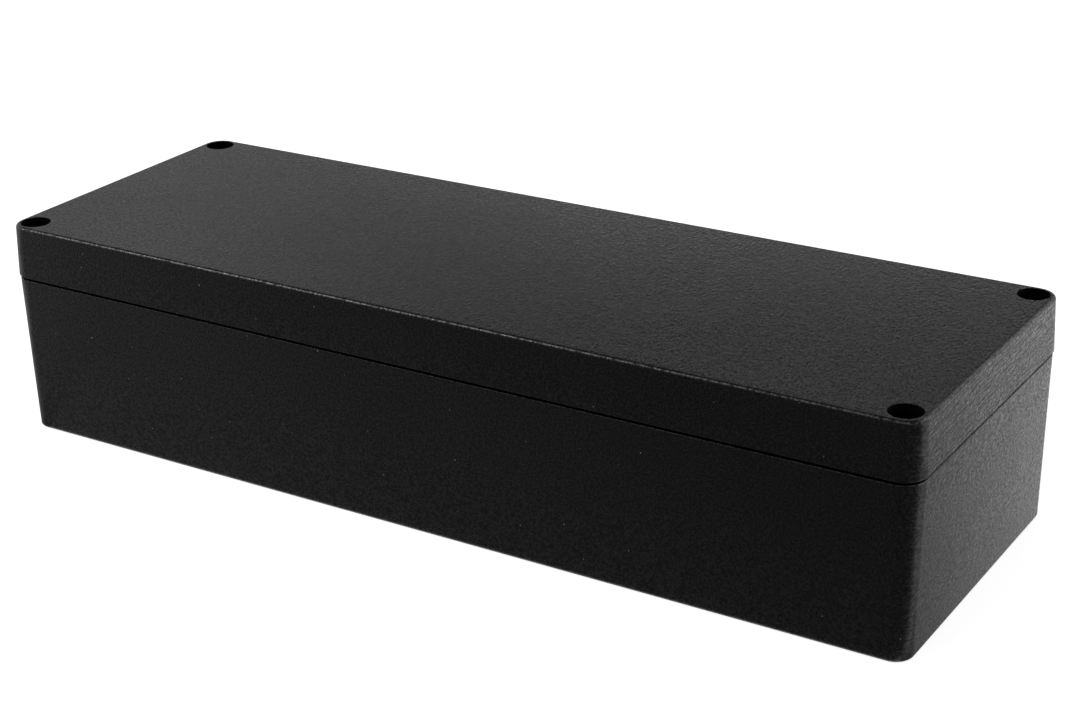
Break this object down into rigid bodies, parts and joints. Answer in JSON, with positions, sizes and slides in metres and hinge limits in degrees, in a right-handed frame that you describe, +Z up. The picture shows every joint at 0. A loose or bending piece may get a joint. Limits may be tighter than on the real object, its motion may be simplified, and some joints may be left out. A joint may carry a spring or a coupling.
{
  "type": "die-cast aluminium enclosure",
  "caption": "Long sealed die-cast aluminium box with a deep drafted base and a thick lift-off lid on a gasket, held by captive screws sunk in corner wells, for housing electronics.",
  "frame": {"origin": "centre of the base's underside", "axes": "+Z up, +X along the length, -Y towards the long front side"},
  "size_m": [0.36, 0.122, 0.081],
  "materials": {
    "base_casting": "black powder coat with a fine texture",
    "lid_casting": "black powder coat with a fine texture",
    "gasket": "matt",
    "screws": "bright stainless"
  },
  "bodies": {
    "base": {"base": "base_casting"},
    "lid": {"lid": "lid_casting", "gasket": "gasket"},
    "lid_screw_front_left": {"lid_screw_front_left": "screws"},
    "lid_screw_front_right": {"lid_screw_front_right": "screws"},
    "lid_screw_rear_left": {"lid_screw_rear_left": "screws"},
    "lid_screw_rear_right": {"lid_screw_rear_right": "screws"}
  },
  "joints": [
    {"name": "lid_lift", "type": "slide", "parent": "base", "child": "lid", "axis": [0, 0, 1], "range_m": [0, 0.1]},
    {"name": "screw_turn_front_left", "type": "hinge", "parent": "lid", "child": "lid_screw_front_left", "pos_m": [-0.172, -0.053, 0.0669], "axis": [0, 0, 1], "continuous": true},
    {"name": "screw_turn_front_right", "type": "hinge", "parent": "lid", "child": "lid_screw_front_right", "pos_m": [0.172, -0.053, 0.0669], "axis": [0, 0, 1], "continuous": true},
    {"name": "screw_turn_rear_left", "type": "hinge", "parent": "lid", "child": "lid_screw_rear_left", "pos_m": [-0.172, 0.053, 0.0669], "axis": [0, 0, 1], "continuous": true},
    {"name": "screw_turn_rear_right", "type": "hinge", "parent": "lid", "child": "lid_screw_rear_right", "pos_m": [0.172, 0.053, 0.0669], "axis": [0, 0, 1], "continuous": true}
  ]
}
